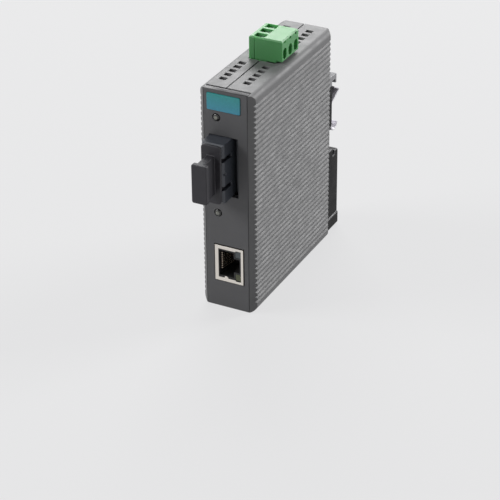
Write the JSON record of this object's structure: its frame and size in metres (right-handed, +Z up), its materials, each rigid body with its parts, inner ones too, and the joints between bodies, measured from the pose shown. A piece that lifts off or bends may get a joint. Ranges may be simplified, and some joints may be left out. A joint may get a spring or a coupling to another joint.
{
  "type": "fibre media converter",
  "caption": "Slim ribbed box that links copper network cable to optical fibre, with a fibre dust plug, a lift-off screw terminal and a rail clip on the rear.",
  "frame": {"origin": "middle of the bottom face that the box stands on", "axes": "+X to the right seen from the front, +Y from the front panel to the rear, +Z up"},
  "size_m": [0.025, 0.1079, 0.11],
  "materials": {
    "housing": "moulded, fine grain, satin",
    "panel": "moulded, satin",
    "badge": "satin colour field, no words",
    "black_moulding": "moulded, satin black",
    "rail_moulding": "moulded, matt black",
    "dust_rubber": "moulded soft black",
    "tinned_sheet": "bright tin over steel sheet",
    "gilt_contact": "gold flash",
    "insert_black": "moulded",
    "lamp_clear": "clear resin",
    "lamp_green": "tinted resin",
    "lens": "diffused resin",
    "board": "solder mask over glass laminate",
    "tin_lead": "tinned",
    "terminal_green": "moulded polyamide",
    "zinc_steel": "zinc plate",
    "spring_steel": "rolled strip",
    "zirconia": "ground",
    "chip_body": "moulded epoxy",
    "can": "drawn can",
    "ferrite": "sintered",
    "fuse_coat": "dipped resin",
    "chip_ceramic": "fired"
  },
  "bodies": {
    "housing": {"left_shell": "housing", "right_shell": "housing", "front_panel": "panel", "badge_plate": "badge", "main_board": "board", "jack_shield": "tinned_sheet", "jack_insert": "insert_black", "jack_contacts": "gilt_contact", "jack_lamp_upper": "lamp_clear", "jack_lamp_lower": "lamp_green", "transceiver": "black_moulding", "ferrule_sleeves": "zirconia", "transceiver_leads": "tin_lead", "upper_lamp": "lens", "lower_lamp": "lens", "lamp_stands": "insert_black", "lamp_leads": "tin_lead", "terminal_header": "terminal_green", "header_pins": "tin_lead", "rail_plate": "rail_moulding", "rail_spring": "spring_steel", "spring_rivets": "spring_steel", "rail_plate_screws": "zinc_steel", "isolation_transformer": "chip_body", "converter_chip": "chip_body", "converter_chip_leads": "tin_lead", "network_chip": "chip_body", "network_chip_leads": "tin_lead", "power_inductor": "ferrite", "bulk_capacitors": "can", "clock_crystal": "can", "power_regulator": "chip_body", "input_fuse": "fuse_coat", "chip_capacitors": "chip_ceramic"},
    "plug": {"terminal_plug": "terminal_green", "plug_contacts": "tin_lead"},
    "cap": {"dust_plug": "dust_rubber"},
    "screw_1": {"clamp_screw_1": "zinc_steel"},
    "cage_1": {"clamp_cage_1": "zinc_steel"},
    "screw_2": {"clamp_screw_2": "zinc_steel"},
    "cage_2": {"clamp_cage_2": "zinc_steel"},
    "screw_3": {"clamp_screw_3": "zinc_steel"},
    "cage_3": {"clamp_cage_3": "zinc_steel"}
  },
  "joints": [
    {"name": "plug_lift", "type": "slide", "parent": "housing", "child": "plug", "axis": [0, 0, 1], "range_m": [0, 0.012]},
    {"name": "cap_pull", "type": "slide", "parent": "housing", "child": "cap", "axis": [0, -1, 0], "range_m": [0, 0.012]},
    {"name": "screw_turn_1", "type": "hinge", "parent": "plug", "child": "screw_1", "pos_m": [-0.0019, -0.00208, 0.107], "axis": [0, 0, -1], "range_deg": [0, 1680]},
    {"name": "cage_rise_1", "type": "slide", "parent": "plug", "child": "cage_1", "axis": [0, 0, 1], "range_m": [0, 0.0021]},
    {"name": "screw_turn_2", "type": "hinge", "parent": "plug", "child": "screw_2", "pos_m": [-0.0019, 0.003, 0.107], "axis": [0, 0, -1], "range_deg": [0, 1680]},
    {"name": "cage_rise_2", "type": "slide", "parent": "plug", "child": "cage_2", "axis": [0, 0, 1], "range_m": [0, 0.0021]},
    {"name": "screw_turn_3", "type": "hinge", "parent": "plug", "child": "screw_3", "pos_m": [-0.0019, 0.00808, 0.107], "axis": [0, 0, -1], "range_deg": [0, 1680]},
    {"name": "cage_rise_3", "type": "slide", "parent": "plug", "child": "cage_3", "axis": [0, 0, 1], "range_m": [0, 0.0021]}
  ],
  "couplings": [
    {"joint": "screw_turn_1", "follows": "cage_rise_1", "rad_per_m": 13963},
    {"joint": "screw_turn_2", "follows": "cage_rise_2", "rad_per_m": 13963},
    {"joint": "screw_turn_3", "follows": "cage_rise_3", "rad_per_m": 13963}
  ]
}
